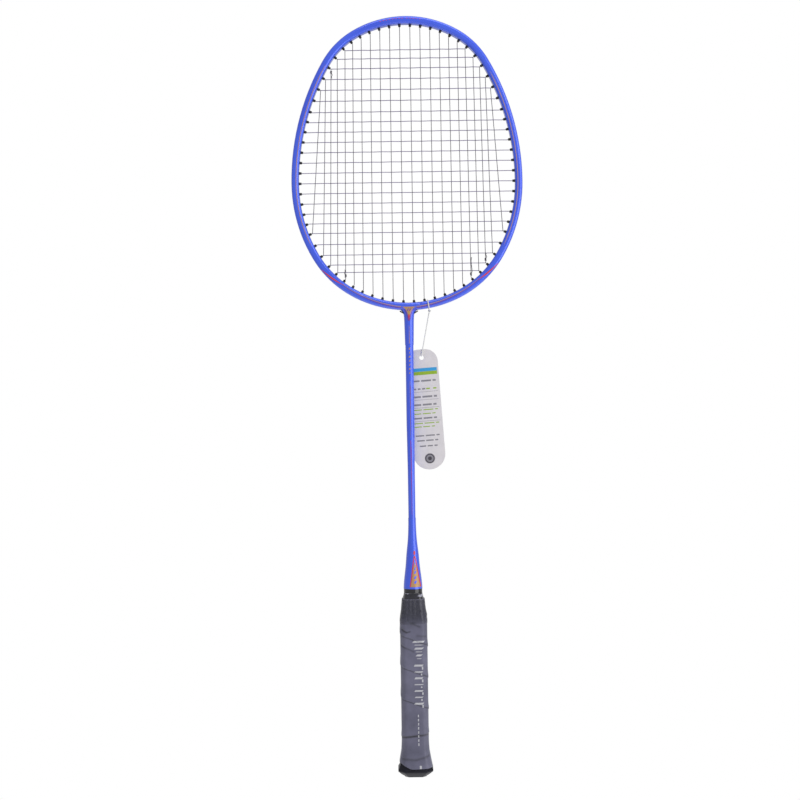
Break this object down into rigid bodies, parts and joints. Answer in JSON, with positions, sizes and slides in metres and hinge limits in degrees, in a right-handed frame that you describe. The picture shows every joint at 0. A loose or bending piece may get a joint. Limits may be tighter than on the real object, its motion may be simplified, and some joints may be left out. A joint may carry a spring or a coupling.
{
  "type": "badminton racket",
  "caption": "Strung badminton racket with a hollow oval head, thin shaft, cone and wrapped octagonal handle, with a card hang tag on a string.",
  "frame": {"origin": "centre of the butt's end face", "axes": "+Z along the shaft to the tip of the head, +X to the right across the strings, +Y away from the viewer, square to the strings"},
  "size_m": [0.2054, 0.028, 0.675],
  "materials": {
    "frame_paint": "royal blue gloss lacquer over carbon laminate",
    "spigot": "turned, plain",
    "cone": "moulded cone in royal blue lacquer",
    "black_plastic": "satin moulding",
    "film": "thin clear tape over dark grip",
    "grip": "dark bluish grey tacky polyurethane wrap",
    "core_wood": "sanded, unfinished",
    "steel_wire": "plain staple wire",
    "badge": "printed disc",
    "grommet": "black nylon",
    "string": "coated multifilament",
    "card": "coated card, printed",
    "white_thread": "twisted thread"
  },
  "bodies": {
    "racket": {"head_frame": "frame_paint", "throat_joint": "frame_paint", "throat_spigot": "spigot", "shaft": "frame_paint", "cone_cap": "cone", "collar_band": "black_plastic", "finishing_tape": "film", "grip_wrap": "grip", "handle_core": "core_wood", "butt_cap": "black_plastic", "butt_staples": "steel_wire", "butt_badge": "badge", "tip_grommets": "grommet", "shoulder_grommets": "grommet", "left_side_grommets": "grommet", "right_side_grommets": "grommet", "lower_grommets": "grommet", "throat_grommets": "grommet", "main_string": "string", "cross_string": "string", "string_knots": "string", "tag_loop": "white_thread", "tag_knot": "white_thread"},
    "tag_cord": {"tag_cord": "white_thread"},
    "tag": {"hang_tag": "card"}
  },
  "joints": [
    {"name": "tag_swing", "type": "hinge", "parent": "racket", "child": "tag_cord", "pos_m": [0.01831, 0.00415, 0.41308], "axis": [1, 0, 0], "range_deg": [0, 130]},
    {"name": "tag_turn", "type": "hinge", "parent": "tag_cord", "child": "tag", "pos_m": [0.0106, 0.00415, 0.37288], "axis": [0, 1, 0], "range_deg": [-85, 85]}
  ]
}
